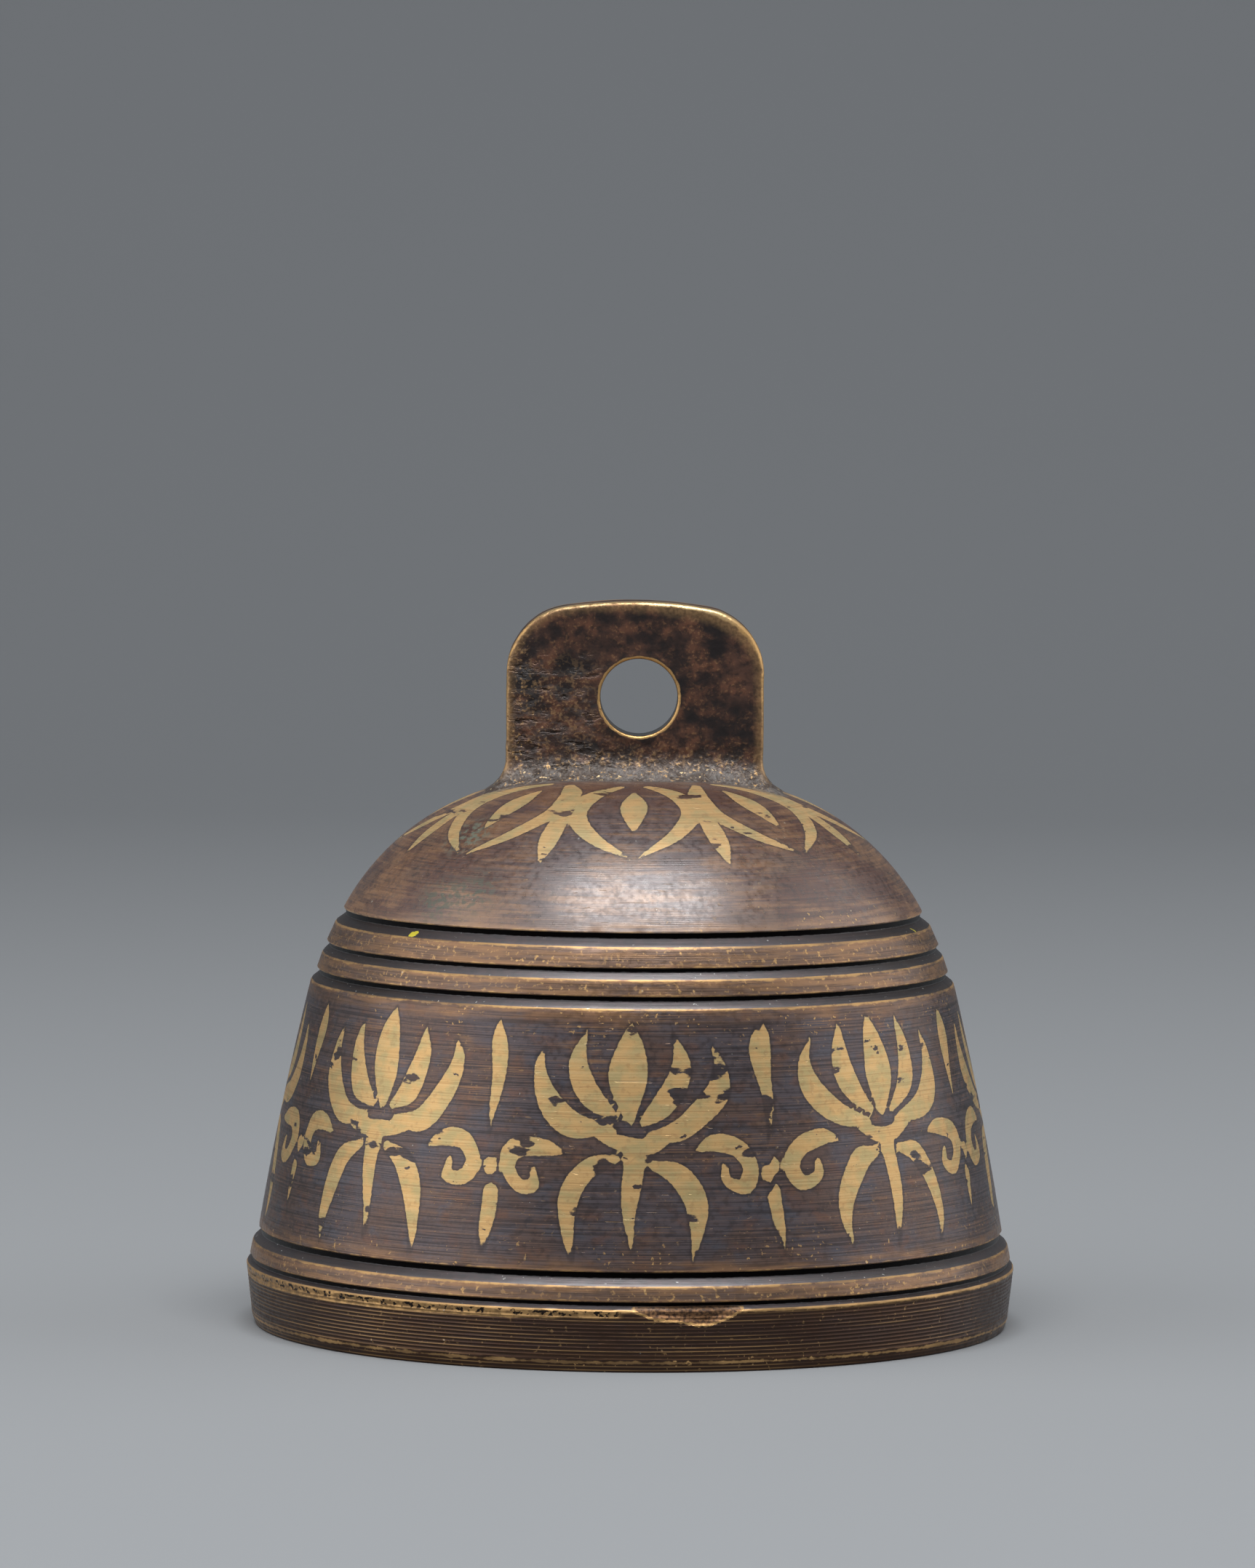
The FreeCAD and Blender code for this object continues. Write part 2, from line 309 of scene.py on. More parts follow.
class Socket:
    """An output of a shader tree. Arithmetic on it adds Math nodes."""

    def __init__(self, tree, socket=None):
        self.tree, self.socket = tree, socket

    def node(self, kind, settings, inputs, output=0):
        """Adds a node: its settings first, then the values or links of its sockets."""
        made = self.tree.nodes.new("ShaderNode" + kind)
        for key, value in settings.items():
            setattr(made, key, value)
        for key, value in inputs.items():
            if isinstance(value, Socket):
                self.tree.links.new(value.socket, made.inputs[key])
            else:
                made.inputs[key].default_value = value
        return Socket(self.tree, made.outputs[output]) if made.outputs else None

    def math(self, operation, *values):
        return self.node("Math", {"operation": operation}, dict(enumerate(values)))

    def vector(self, operation, *values):
        return self.node("VectorMath", {"operation": operation}, dict(enumerate(values)))

    def __add__(self, other):
        return self.math("ADD", self, other)

    def __sub__(self, other):
        return self.math("SUBTRACT", self, other)

    def __rsub__(self, other):
        return self.math("SUBTRACT", other, self)

    def __mul__(self, other):
        return self.math("MULTIPLY", self, other)

    def __abs__(self):
        return self.math("ABSOLUTE", self)

    __radd__, __rmul__ = __add__, __mul__

    def rise(self, start, end):
        """0 up to start and 1 from end, smooth between. With start above end it falls."""
        return self.node("MapRange", {"interpolation_type": "SMOOTHSTEP"},
                         {"Value": self, "From Min": start, "From Max": end})

    def blend(self, under, over):
        """over where this is 1 and under where it is 0, both numbers or both colours."""
        if any(isinstance(v, tuple) or isinstance(v, Socket) and v.socket.type == "RGBA"
               for v in (under, over)):
            return self.node("Mix", {"data_type": "RGBA"}, {0: self, 6: under, 7: over}, 2)
        return self.node("Mix", {"data_type": "FLOAT"}, {0: self, 2: under, 3: over})


def colour(red, green, blue):
    """A colour as a paint chart gives it, 0 to 255, for the shader."""
    shares = [v / 255 for v in (red, green, blue)]
    return tuple(s / 12.92 if s < 0.04045 else ((s + 0.055) / 1.055) ** 2.4 for s in shares) + (1.0,)


def stored(tree, name):
    """The number that paint kept on the piece under this name."""
    return tree.node("Attribute", {"attribute_name": name}, {}, "Fac")


def part_of(place, axis):
    return place.node("SeparateXYZ", {}, {0: place}, axis)


def length_of(place):
    return place.node("VectorMath", {"operation": "LENGTH"}, {0: place}, "Value")


def distance(place, spot):
    return place.node("VectorMath", {"operation": "DISTANCE"}, {0: place, 1: spot}, "Value")


even = (1.0, 1.0, 1.0)


def grain(place, stretch, scale, detail=3.0, distortion=0.0):
    """Noise about one unit wide over scale, drawn out along the axes by stretch."""
    drawn = place.vector("MULTIPLY", place, stretch)
    return place.node("TexNoise", {}, {"Vector": drawn, "Scale": scale, "Detail": detail,
                                       "Distortion": distortion})


def start_material(name, piece):
    """A new material on the piece, with object places in millimetres."""
    material = bpy.data.materials.new(name)
    material.use_nodes = True
    material.node_tree.nodes.clear()
    piece.data.materials.clear()
    piece.data.materials.append(material)
    tree = Socket(material.node_tree)
    place = tree.node("TexCoord", {}, {}, "Object")
    return tree, tree.node("VectorMath", {"operation": "SCALE"}, {0: place, "Scale": 1 / mm})


def finish_material(tree, base, metallic, roughness, height, relief, fixed):
    """Joins the layers to the surface. relief is the height of 1, in metres."""
    bump = tree.node("Bump", {}, {"Strength": 1.0, "Distance": relief, "Height": height})
    surface = tree.node("BsdfPrincipled", {}, {"Base Color": base, "Metallic": metallic,
                                               "Roughness": roughness, "Normal": bump, **fixed})
    tree.node("OutputMaterial", {}, {"Surface": surface})


patina_dark = colour(44, 36, 36)
patina_slate = colour(84, 75, 79)
patina_brown = colour(92, 72, 65)
patina_blue = colour(74, 77, 88)
patina_red = colour(112, 73, 52)
dome_brown = colour(104, 76, 58)
dome_red = colour(88, 56, 43)
band_brown = colour(138, 108, 82)
worn_copper = colour(152, 112, 76)
worn_gold = colour(196, 156, 102)
brushed_gold = colour(210, 171, 114)
brushed_green = colour(184, 164, 114)
# Pale brass of brush lines, scratches and chips; also a painted highlight on the lug's top rim.
pale_brass_and_highlight = colour(232, 204, 154)
# Near black for groove walls, casting pits, rib valleys and gouges: painted shade in these hollows, over
# grime.
grime_and_shade_black = colour(12, 10, 10)
groove_slate = colour(72, 71, 75)
# Painted shade on the groove slopes away from the front.
groove_slope_shade = colour(32, 30, 33)
lip_brown = colour(78, 53, 36)
# Grey of the as-cast metal; also a painted glint on the edges of the lug's gouges.
cast_grey_and_glint = colour(106, 103, 100)
cast_brown = colour(66, 50, 38)
chip_brown = colour(142, 106, 74)
chip_dark = colour(72, 53, 42)
verdigris = colour(56, 68, 50)
pale_verdigris = colour(104, 114, 98)
pale_dust = colour(196, 196, 192)
paint_fleck = colour(242, 226, 66)
strip_low = 5.12
strike_low, strike_high = 13.0, 21.0
stains = (((-18.6, -19.6, 42.6), verdigris), ((-15.4, -22.0, 44.0), verdigris),
          ((-15.8, -14.1, 48.6), pale_verdigris))
fleck_middles = ((-21.0, -19.5, 39.6), (27.3, -9.6, 39.8))

tree, place = start_material("turned_bell_brass", bell)
across = part_of(place, "X")
depth = part_of(place, "Y")
height = part_of(place, "Z")
flat = tree.vector("MULTIPLY", place, (1.0, 1.0, 0.0))
radius = length_of(flat)
on_section = tree.node("CombineXYZ", {}, {"X": radius, "Y": height})
turned = tree.vector("ADD", flat, tree.node("CombineXYZ", {}, {"Z": height - 0.7 * radius}))


def nearest(points):
    """Distance in the section to the nearest of some points, in millimetres."""
    least = None
    for point in points:
        gap = distance(on_section, tuple(v / mm for v in point) + (0.0,))
        least = gap if least is None else tree.math("MINIMUM", least, gap)
    return least


def scratches(place, lie, start):
    """Straight hair scratches that lie one way, a few millimetres long."""
    laid = place.node("Mapping", {}, {"Vector": place, "Rotation": lie, "Scale": (0.07, 3.6, 3.6)})
    return grain(laid, even, 1.0, 1.0).rise(start, start + 0.03)


patches = grain(place, (1.0, 1.0, 1.4), 0.13, 4.0, 0.5)
clouds = grain(place, (1.0, 1.0, 1.5), 0.5, 6.0)
mottle = grain(place, (1.0, 1.0, 1.2), 1.5, 5.0)
rubs = grain(place, (0.6, 0.6, 1.0), 0.26, 5.0)
streaks = grain(turned, (0.11, 0.11, 1.0), 1.6, 8.0)
hairlines = grain(turned, (0.010, 0.010, 1.0), 7.6, 3.0)
specks = grain(place, even, 2.4, 3.0)
on_dome = height.rise(groove_edges[0][1][1] / mm - 0.5, groove_edges[0][0][1] / mm)

base = patches.rise(0.42, 0.62).blend(patina_slate, patina_brown)
base = (grain(place, (1.0, 1.0, 1.5), 0.3, 4.0).rise(0.52, 0.66) * 0.6).blend(base, patina_blue)
dome_base = patches.rise(0.42, 0.58).blend(dome_brown, dome_red)
dome_front = (abs(across + 1.0) + 9.0 * (patches - 0.5)).rise(17.0, 5.0)
dome_base = (dome_front * 0.65).blend(dome_base, patina_slate)
base = on_dome.blend(base, dome_base)
base = (clouds.rise(0.50, 0.70) * 0.45).blend(base, patina_red)
base = (mottle.rise(0.50, 0.34) * 0.4).blend(base, patina_dark)
base = (hairlines.rise(0.52, 0.38) * (0.70 - 0.30 * on_dome)).blend(base, patina_dark)
rubbed = rubs.rise(0.46, 0.62) * (0.35 + 0.65 * height.rise(12.0, 30.0))
base = (streaks.rise(0.54, 0.72) * (0.06 + 0.46 * rubbed)).blend(base, worn_copper)
base = (hairlines.rise(0.55, 0.68) * (0.16 + 0.40 * rubbed)).blend(base, worn_copper)
base = (on_dome * (rubs + 0.9 * (streaks - 0.5)).rise(0.42, 0.66) * 0.42).blend(base, worn_copper)
base = (on_dome * (0.6 * specks + 0.4 * clouds).rise(0.50, 0.60) * 0.38).blend(base, patina_dark)
bands = 0.0
for over, under in zip(groove_edges, groove_edges[1:]):
    top, low = over[1][1] / mm, under[0][1] / mm
    if top - low < 3.0:
        bands += height.rise(low - 0.02, low + 0.05) * height.rise(top + 0.05, top - 0.02)
base = (bands * (0.30 + 0.50 * streaks.rise(0.42, 0.60))).blend(base, band_brown)
base = (bands * hairlines.rise(0.52, 0.40) * 0.40).blend(base, patina_dark)
base = (bands * specks.rise(0.58, 0.64) * 0.45).blend(base, worn_gold)
# The dome is darkened to red toward the crown: partly patina, partly a painted dark reflection of the lug
# and the room above.
base = (radius.rise(19.0, 10.0) * 0.7 * clouds.rise(0.35, 0.5)).blend(base, dome_red)
for middle, shade in stains:
    base = (distance(place, middle).rise(3.8, 0.8) * mottle.rise(0.44, 0.58) * 0.75).blend(base, shade)

edges = nearest([point for pair in groove_edges for point in pair] + [lip_low])
base = (edges.rise(1.8, 0.0) * (0.2 + 0.5 * streaks.rise(0.42, 0.60))).blend(base, worn_copper)
edge_wear = (edges + 0.5 * (clouds - 0.5) + 0.4 * (mottle - 0.5)).rise(0.20, 0.04)
edge_wear = edge_wear * (0.35 + 0.55 * streaks.rise(0.36, 0.60))
speck_wear = specks.rise(0.64, 0.69) * rubs.rise(0.44, 0.54) * (0.25 + edges.rise(4.0, 0.8))
speck_wear = speck_wear * (1 - 0.8 * on_dome * across.rise(12.0, 0.0))
scored = tree.math("MAXIMUM", scratches(place, (0.0, 0.9, 0.3), 0.74),
                   scratches(place, (0.4, -0.6, 0.2), 0.75))
lip_edge = nearest([lip_top])
lip_wear = (lip_edge + 0.3 * (mottle - 0.5)).rise(0.34, 0.14) * (0.6 + 0.4 * clouds.rise(0.4, 0.6))
edge_wear = tree.math("MAXIMUM", edge_wear, lip_wear)
shine = tree.math("MAXIMUM", edge_wear, tree.math("MAXIMUM", speck_wear * 0.8, scored * 0.25))

phase = tree.math("FRACT", (lip_top_height - rib_margin / mm - height) * (mm / rib_pitch / -lip_fall))
on_ribs = height.rise(lip_top_height + 0.04, lip_top_height - 0.1)
crest = abs(phase - 0.5).rise(0.24, 0.48)
rib_lines = grain(turned, (0.018, 0.018, 1.0), 3.4, 4.0)
base = (on_ribs * 0.8).blend(base, lip_brown)
# The valleys between the lip's ribs are darkened half way to near black: painted shade between the ribs,
# with grime.
base = (on_ribs * (1 - crest) * 0.5).blend(base, grime_and_shade_black)
rib_wear = rib_lines + 0.25 * (rubs - 0.5) - 0.0022 * across + 0.008 * (4.0 - height)
rib_wear = on_ribs * crest * rib_wear.rise(0.46, 0.70)
shine = tree.math("MAXIMUM", shine * (1 - 0.6 * on_ribs * edges.rise(0.2, 0.5)), rib_wear * 0.50)

strip = (height - 0.012 * across + 0.35 * (clouds - 0.5)).rise(strip_low - 0.08, strip_low + 0.08)
strip = strip * height.rise(lip_top_height + 0.02, lip_top_height - 0.04)
strip = strip * across.rise(-0.4, -1.6) * depth.rise(4.0, -4.0)
pits = strip * height.rise(strip_low, strip_low + 0.2)
pits = pits * height.rise(lip_top_height - 0.06, lip_top_height - 0.2)
pits = pits * grain(place, (1.0, 1.0, 1.2), 2.0, 2.0).rise(0.545, 0.575)
shine = tree.math("MAXIMUM", shine, strip * (0.45 + 0.45 * mottle.rise(0.4, 0.6))) * (1 - pits)

hollow = stored(tree, "inside")
# The upright wall of each groove, above its floor, is painted near black: painted shade under the groove's
# upper edge, with grime.
grooved = wall_shade_and_grime = 0.0
for (upper, lower), floor in zip(groove_edges, groove_floors):
    top = height.rise(upper[1] / mm + 0.04, upper[1] / mm - 0.02)
    grooved += height.rise(lower[1] / mm, lower[1] / mm + 0.08) * top
    wall_shade_and_grime += (height + 0.16 * (mottle - 0.5)).rise(floor / mm - 0.01, floor / mm + 0.12) * top
grooved, wall_shade_and_grime = grooved * (1 - hollow), wall_shade_and_grime * (1 - hollow)
slope = mottle.rise(0.3, 0.7).blend(groove_slate, patina_slate)
# The groove slopes are painted darker, and made more metallic, away from the front and on the upper
# grooves: painted shade where the top lamp's highlight leaves them.
slope_shade_to_sides = abs(across).rise(10.0, 28.0) * (0.7 + 0.3 * height.rise(12.0, 30.0))
slope = slope_shade_to_sides.blend(slope, groove_slope_shade)
base = (grooved * 0.9).blend(base, slope)
base = (grooved * specks.rise(0.70, 0.73) * 0.8).blend(base, pale_dust)
shine = shine * (1 - grooved * edges.rise(0.05, 0.15))
base = shine.blend(base, worn_gold)
# Groove walls and casting pits get the near black: painted shade with grime.
pit_and_wall_shade = tree.math("MAXIMUM", wall_shade_and_grime, pits * 0.8)
base = pit_and_wall_shade.blend(base, grime_and_shade_black)
base = (specks.rise(0.755, 0.775) * (1 - pit_and_wall_shade) * 0.7).blend(base, pale_dust)
flecks = 0.0
for middle in fleck_middles:
    flecks += (distance(place, middle) + 0.9 * (mottle - 0.5)).rise(0.6, 0.5)
base = flecks.blend(base, paint_fleck)

brush = stored(tree, "brushwork")
ragged = brush + 0.22 * (grain(place, even, 2.6, 4.0) - 0.5)
nicks = tree.math("MAXIMUM", grain(turned, (0.6, 0.6, 1.0), 0.9, 6.0).rise(0.68, 0.70),
                  grain(turned, (0.5, 0.5, 1.0), 0.34, 8.0).rise(0.62, 0.64))
ink = ragged.rise(-0.02, 0.05) * (1 - nicks)
rim = ragged.rise(-0.30, -0.05) * (1 - ink)
gold = clouds.rise(0.38, 0.66).blend(brushed_gold, brushed_green)
gold = (hairlines.rise(0.50, 0.64) * 0.20).blend(gold, pale_brass_and_highlight)
gold = (hairlines.rise(0.48, 0.34) * 0.35).blend(gold, worn_copper)
gold = (mottle.rise(0.56, 0.66) * 0.25).blend(gold, worn_copper)
gold = (scored * 0.4).blend(gold, pale_brass_and_highlight)
base = (rim * 0.5).blend(base, patina_dark)
base = ink.blend(base, gold)

struck = hollow * height.rise(strike_low, strike_low + 4) * height.rise(strike_high, strike_high - 4)
struck = struck * abs(across).rise(18.0, 26.0) * (0.6 * clouds + 0.4 * mottle).rise(0.34, 0.62)
base = (hollow * 0.55).blend(base, lip_brown)
base = (hollow * clouds.rise(0.60, 0.74) * 0.6).blend(base, verdigris)
base = (struck * 0.6).blend(base, worn_gold)
chipped = stored(tree, "chip") + 0.5 * (specks - 0.5)
broken = chipped.rise(-0.05, 0.05)
crumbs = grain(place, even, 3.2, 5.0)
base = broken.blend(base, crumbs.rise(0.36, 0.62).blend(chip_dark, chip_brown))
base = (abs(chipped).rise(0.18, 0.06) * 0.9).blend(base, worn_gold)

beyond_root = tree.node("CombineXYZ", {}, {"X": tree.math("MAXIMUM", abs(across) - 13.0, 0.0),
                                           "Y": tree.math("MAXIMUM", abs(depth) - 3.2, 0.0)})
beyond_root = length_of(beyond_root)
as_cast = (beyond_root + 2.6 * (clouds - 0.5) + 2.0 * (mottle - 0.5)).rise(2.5, 0.9)
as_cast = as_cast * on_dome
base = (as_cast * 0.85).blend(base, crumbs.rise(0.36, 0.64).blend(cast_brown, cast_grey_and_glint))
ink = ink * (1 - as_cast)
bright = tree.math("MAXIMUM", ink, shine)
coarse = tree.math("MAXIMUM", broken, as_cast)
metallic = bright.blend(0.74 - 0.54 * on_dome + 0.16 * on_ribs, 0.86 - 0.36 * on_dome)
metallic = metallic * (1 - flecks)
# Metallic goes to 1 on the near-black walls and pits, so they reflect nothing and stay dark as painted
# shade.
metallic = tree.math("MAXIMUM", grooved.blend(metallic, slope_shade_to_sides.blend(0.35, 0.6)), pit_and_wall_shade)
dull = mottle.rise(0.35, 0.65).blend(0.31, 0.44) - 0.04 * on_dome + 0.06 * on_dome * specks.rise(0.44, 0.66)
roughness = bright.blend(dull, 0.46)
roughness = tree.math("MAXIMUM", roughness, tree.math("MAXIMUM", grooved * 0.42, coarse * 0.6))
relief = 0.28 * hairlines + 0.36 * streaks + (0.34 - 0.20 * on_dome) * mottle + 0.8 * coarse * crumbs
relief = relief - 0.9 * pits - 0.3 * scored
finish_material(tree, base, metallic, roughness, relief, 0.05 * mm, {"IOR": 2.05})

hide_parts("bell_body")
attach(bell, "bell")


# The lug: a flat ear cast in one with the bell, its rim rounded with a file and a
# hole drilled through. Its root was left as cast, rough, where the lathe tool
# could not reach, and it spreads out over the dome.
lug_half = 12.6 * mm
lug_thickness = 5.0 * mm
lug_top = crown_height + lug_rise
lug_bottom = crown_height - 3.0 * mm
lug_corner_radius = 6.7 * mm
lug_top_radius = 44.0 * mm
lug_edge_round = 0.6 * mm
lug_root_fillet = 2.6 * mm
hole_radius = 3.75 * mm
hole_edge_break = 0.25 * mm
hole_middle = (0.4 * mm, -lug_thickness / 2, lug_top - 9.4 * mm)
lug_steps = 232
lug_face_cuts = 27
lug_wall_cuts = 11

top_centre = lug_top - lug_top_radius
corner_x = lug_half - lug_corner_radius
corner_reach = lug_top_radius - lug_corner_radius
corner_z = top_centre + math.sqrt(corner_reach ** 2 - corner_x ** 2)


def beyond_lug(x, z):
    """How far a place in the front view lies outside the lug's outline, less than zero inside."""
    wide, up = abs(x), z - top_centre
    if z > corner_z and wide / up > corner_x / (corner_z - top_centre):
        return math.hypot(wide - corner_x, z - corner_z) - lug_corner_radius
    return max(wide - lug_half, lug_bottom - z, math.hypot(x, up) - lug_top_radius)


def dome_height(radius):
    """Height of the dome at this distance from the bell's axis."""
    out = np.clip(radius - crown_flat_radius, 0, dome_radius)
    return crown_height - dome_radius + np.sqrt(dome_radius ** 2 - out ** 2)


def select_edges(piece, wanted):
    """In edit mode, selects only the edges whose two ends pass wanted."""
    bpy.ops.mesh.select_mode(type="EDGE")
    bpy.ops.mesh.select_all(action="DESELECT")
    bpy.ops.object.mode_set(mode="OBJECT")
    corners = [v.co for v in piece.data.vertices]
    for edge in piece.data.edges:
        edge.select = wanted(*(corners[v] for v in edge.vertices))
    bpy.ops.object.mode_set(mode="EDIT")


bpy.ops.object.select_all(action="DESELECT")
bpy.ops.mesh.primitive_circle_add(vertices=lug_steps, radius=hole_radius, location=hole_middle,
                                  rotation=(math.pi / 2, 0, 0))
lug = bpy.context.object
lug.name = lug.data.name = "lug_casting"
bpy.ops.object.transform_apply(location=True, rotation=True, scale=True)
bpy.ops.object.mode_set(mode="EDIT")
bpy.ops.mesh.select_all(action="SELECT")
bpy.ops.mesh.extrude_region_move()
bpy.ops.transform.resize(value=(2, 1, 2), center_override=hole_middle)
bpy.ops.object.mode_set(mode="OBJECT")
for vertex in lug.data.vertices:
    ray = vertex.co - Vector(hole_middle)
    if ray.length > 1.5 * hole_radius:
        near, far = 0.0, 4.0
        for _ in range(40):
            reach = (near + far) / 2
            spot = Vector(hole_middle) + ray * reach
            near, far = (reach, far) if beyond_lug(spot.x, spot.z) < 0 else (near, reach)
        vertex.co = Vector(hole_middle) + ray * near
bpy.ops.object.mode_set(mode="EDIT")
bpy.ops.mesh.select_all(action="SELECT")
bpy.ops.mesh.extrude_region_move(TRANSFORM_OT_translate={"value": (0, lug_thickness, 0)})
touching = 0.01 * mm


def on_face(a, b):
    """Whether an edge lies in the lug's front or back face."""
    return abs(a.y - b.y) < touching and abs(abs(a.y) - lug_thickness / 2) < touching


def beyond_hole(spot):
    return math.hypot(spot.x - hole_middle[0], spot.z - hole_middle[2]) - hole_radius


def on_outline(a, b):
    return (on_face(a, b) and min(beyond_hole(a), beyond_hole(b)) > touching
            and all(abs(beyond_lug(spot.x, spot.z)) < touching for spot in (a, b)))


def on_hole(a, b):
    return on_face(a, b) and max(beyond_hole(a), beyond_hole(b)) < touching


for on_rim, offset, segments in ((on_outline, lug_edge_round, 5), (on_hole, hole_edge_break, 2)):
    select_edges(lug, on_rim)
    bpy.ops.mesh.bevel(offset=offset, segments=segments, affect="EDGES")
select_edges(lug, lambda a, b: abs(a.y - b.y) < touching and (a - b).length > 3 * mm)
bpy.ops.mesh.subdivide(number_cuts=lug_face_cuts)
select_edges(lug, lambda a, b: abs(a.y - b.y) > 3 * mm)
bpy.ops.mesh.subdivide(number_cuts=lug_wall_cuts)
close_up()

places = places_of(lug)
rim_gap = np.array([-beyond_lug(x, z) for x, y, z in places])
hole_gap = np.hypot(places[:, 0] - hole_middle[0], places[:, 2] - hole_middle[2]) - hole_radius
below = dome_height(np.hypot(places[:, 0], places[:, 1]))
above_dome = places[:, 2] - below
near_root = lug_root_fillet - np.clip(above_dome, 0, lug_root_fillet)
flare = lug_root_fillet - np.sqrt(lug_root_fillet ** 2 - near_root ** 2)
places[:, 0] *= 1 + flare / lug_half
places[:, 1] *= 1 + flare / (lug_thickness / 2)
moved = dome_height(np.hypot(places[:, 0], places[:, 1]))
places[:, 2] += np.where(flare > 0, moved - below, 0)
move_to(lug, places)
rough = np.clip(1.3 - above_dome / (3.2 * mm), 0, 1)
rough = np.maximum(rough, np.clip((-places[:, 0] - 9.2 * mm) / (2.2 * mm), 0, 1) * 0.8)
rough = np.maximum(rough, np.clip((-places[:, 0] - 3.5 * mm) / (5 * mm), 0, 1)
                   * np.clip((lug_top - 5.0 * mm - places[:, 2]) / (3 * mm), 0, 1) * 0.5)
rough *= np.clip(hole_gap / (0.6 * mm) - 0.6, 0, 1) * np.clip(rim_gap / (0.8 * mm), 0.25, 1)
paint(lug, "rough", rough)
paint(lug, "rim", rim_gap / mm)
paint(lug, "root", above_dome / mm)
filed = np.clip(hole_gap / (0.5 * mm) - 0.6, 0, 1)
for name, weights in (("filed", filed), ("rough", rough)):
    group = lug.vertex_groups.new(name=name)
    for index in np.flatnonzero(weights > 0.01):
        group.add([int(index)], float(weights[index]), "REPLACE")


def add_lumps(piece, name, size, depth, group=""):
    """Sinks the surface by up to depth in lumps about size wide, and applies it."""
    lumps = bpy.data.textures.new(name, "CLOUDS")
    lumps.noise_scale, lumps.noise_depth = size, 2
    sink = piece.modifiers.new(name, "DISPLACE")
    sink.texture, sink.texture_coords = lumps, "LOCAL"
    sink.strength, sink.mid_level, sink.vertex_group = depth, 1.0, group
    bpy.context.view_layer.objects.active = piece
    bpy.ops.object.modifier_apply(modifier=name)


add_lumps(lug, "file_waves", 4.0 * mm, 0.14 * mm, "filed")
add_lumps(lug, "cast_skin", 0.8 * mm, 0.5 * mm, "rough")
bpy.ops.object.shade_smooth_by_angle(angle=math.radians(50))

lug_dark = colour(26, 18, 18)
lug_brown = colour(88, 59, 46)
lug_red = colour(120, 76, 52)
lug_tan = colour(166, 132, 92)

tree, place = start_material("cast_lug_brass", lug)
rim = stored(tree, "rim")
root = stored(tree, "root")
skin = stored(tree, "rough")
hole_place = tree.vector("SUBTRACT", place, tuple(v / mm for v in hole_middle))
hole_flat = tree.vector("MULTIPLY", hole_place, (1.0, 0.0, 1.0))
hole_gap = length_of(hole_flat) - hole_radius / mm
across = part_of(place, "X")
depth = part_of(place, "Y")
gap_under_top = lug_top / mm - part_of(place, "Z")
patches = grain(place, even, 0.16, 5.0)
clouds = grain(place, (1.0, 1.0, 1.2), 0.42, 7.0)
grains = grain(place, even, 1.5, 5.0)
crumbs = grain(place, even, 3.4, 3.0)
slanted = tree.node("Mapping", {}, {"Vector": place, "Rotation": (0.0, math.radians(24), 0.0),
                                    "Scale": (0.5, 0.7, 1.5)})
gouges = slanted.node("TexNoise", {}, {"Vector": slanted, "Scale": 0.9, "Detail": 4.0})
torn = across.rise(-1.0, -6.0) * gap_under_top.rise(4.0, 8.0)
gouged = gouges.rise(0.56, 0.66) * torn

base = (0.6 * patches + 0.4 * clouds).rise(0.38, 0.62).blend(lug_dark, lug_brown)
base = (clouds.rise(0.44, 0.72) * 0.65).blend(base, lug_red)
base = (grains.rise(0.54, 0.34) * 0.65).blend(base, lug_dark)
base = (crumbs.rise(0.54, 0.68) * clouds.rise(0.42, 0.62) * 0.45).blend(base, worn_copper)
grit = (0.5 * crumbs + 0.5 * grains).rise(0.50, 0.60)
base = (tree.math("MAXIMUM", skin, torn * 0.5) * grit * 0.65).blend(base, lug_tan)
# The gouges are painted near black, painted shade in them over grime, and the grey round their edges is a
# painted glint.
base = (gouged * 0.7).blend(base, grime_and_shade_black)
base = (gouges.rise(0.46, 0.53) * (1 - gouged) * torn * 0.22).blend(base, cast_grey_and_glint)
band = (root + 2.4 * (clouds - 0.5)).rise(3.4, 0.8)
cast = (0.5 * crumbs + 0.5 * clouds).rise(0.40, 0.62).blend(cast_brown, cast_grey_and_glint)
cast = (grit * root.rise(0.8, 2.4) * 0.7).blend(cast, lug_tan)
base = (band * 0.85).blend(base, cast)
gold = skin.rise(0.3, 0.9) * crumbs.rise(0.58, 0.66) * grains.rise(0.46, 0.58)
chips = grain(place, (1.0, 1.0, 1.6), 1.0, 2.0).rise(0.68, 0.70) * root.rise(1.7, 0.9)
on_sides = abs(depth).rise(1.2, 2.1) * root.rise(0.5, 2.0)
reach = 0.24 + 0.50 * gap_under_top.rise(7.0, 1.5) * across.rise(-6.0, 12.0)
uneven = rim + 0.9 * (0.5 - patches) + 0.7 * (0.5 - grains)
edge = (reach - uneven).rise(-0.12, 0.2) * on_sides * (0.5 + 0.5 * gap_under_top.rise(14.0, 5.0))
fade = (uneven - 1.8 * reach).rise(0.9, -0.3) * on_sides
base = (fade * (0.40 + 0.25 * crumbs.rise(0.35, 0.60))).blend(base, lug_tan)
ring = (abs(hole_gap - 0.13) + 0.3 * (grains - 0.5)).rise(0.22, 0.12)
gold = tree.math("MAXIMUM", gold, tree.math("MAXIMUM", edge, ring))
base = gold.blend(base, worn_gold)
gold = tree.math("MAXIMUM", gold, chips * 0.8)
